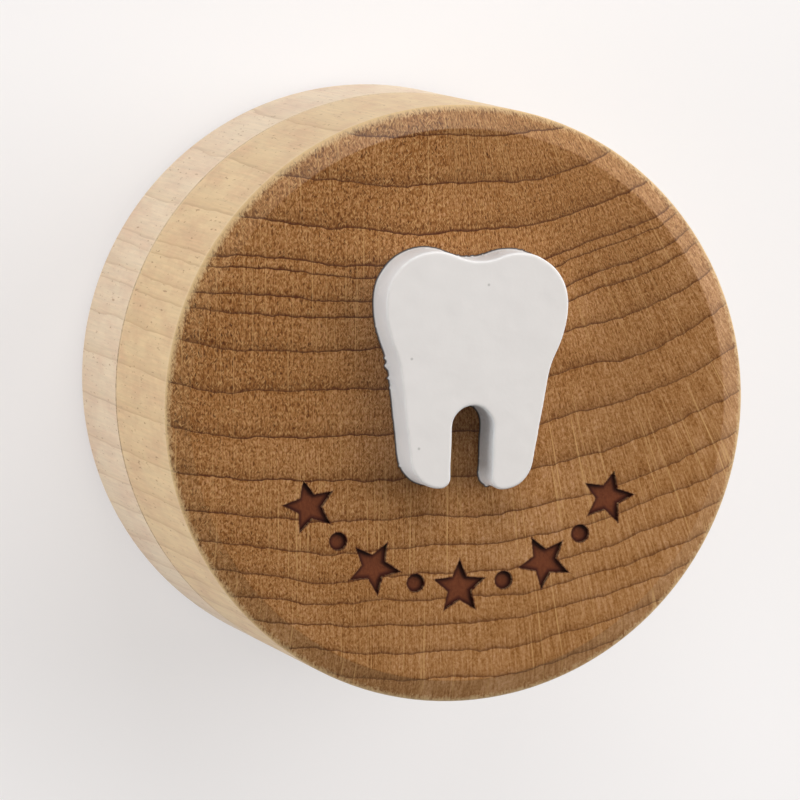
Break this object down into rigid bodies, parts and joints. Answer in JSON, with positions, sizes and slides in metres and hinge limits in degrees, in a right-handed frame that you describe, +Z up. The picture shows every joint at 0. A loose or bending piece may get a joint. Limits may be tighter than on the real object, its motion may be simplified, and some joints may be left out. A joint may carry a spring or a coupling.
{
  "type": "milk tooth box",
  "caption": "Round turned wooden keepsake box for milk teeth, with a lift-off lid held by magnets, a white painted tooth on its face and an arc of engraved stars.",
  "frame": {"origin": "centre of the flat underside of the cup", "axes": "+Z up along the axis of the box, out through the face of the lid; +Y towards the crown of the tooth; +X to the right as one looks down on the lid"},
  "size_m": [0.05, 0.05, 0.036],
  "materials": {
    "cup_beech": "bare sanded beech",
    "lid_beech": "bare sanded beech, end grain on the face",
    "tooth_paint": "matte white paint on wood",
    "magnet_nickel": "bright nickel plate"
  },
  "bodies": {
    "base": {"base_cup": "cup_beech", "base_magnet_1": "magnet_nickel", "base_magnet_2": "magnet_nickel", "base_magnet_3": "magnet_nickel"},
    "lid": {"lid": "lid_beech", "tooth": "tooth_paint", "lid_magnet_1": "magnet_nickel", "lid_magnet_2": "magnet_nickel", "lid_magnet_3": "magnet_nickel"}
  },
  "joints": [
    {"name": "lid_lift", "type": "slide", "parent": "base", "child": "lid", "axis": [0, 0, 1], "range_m": [0, 0.045]}
  ]
}
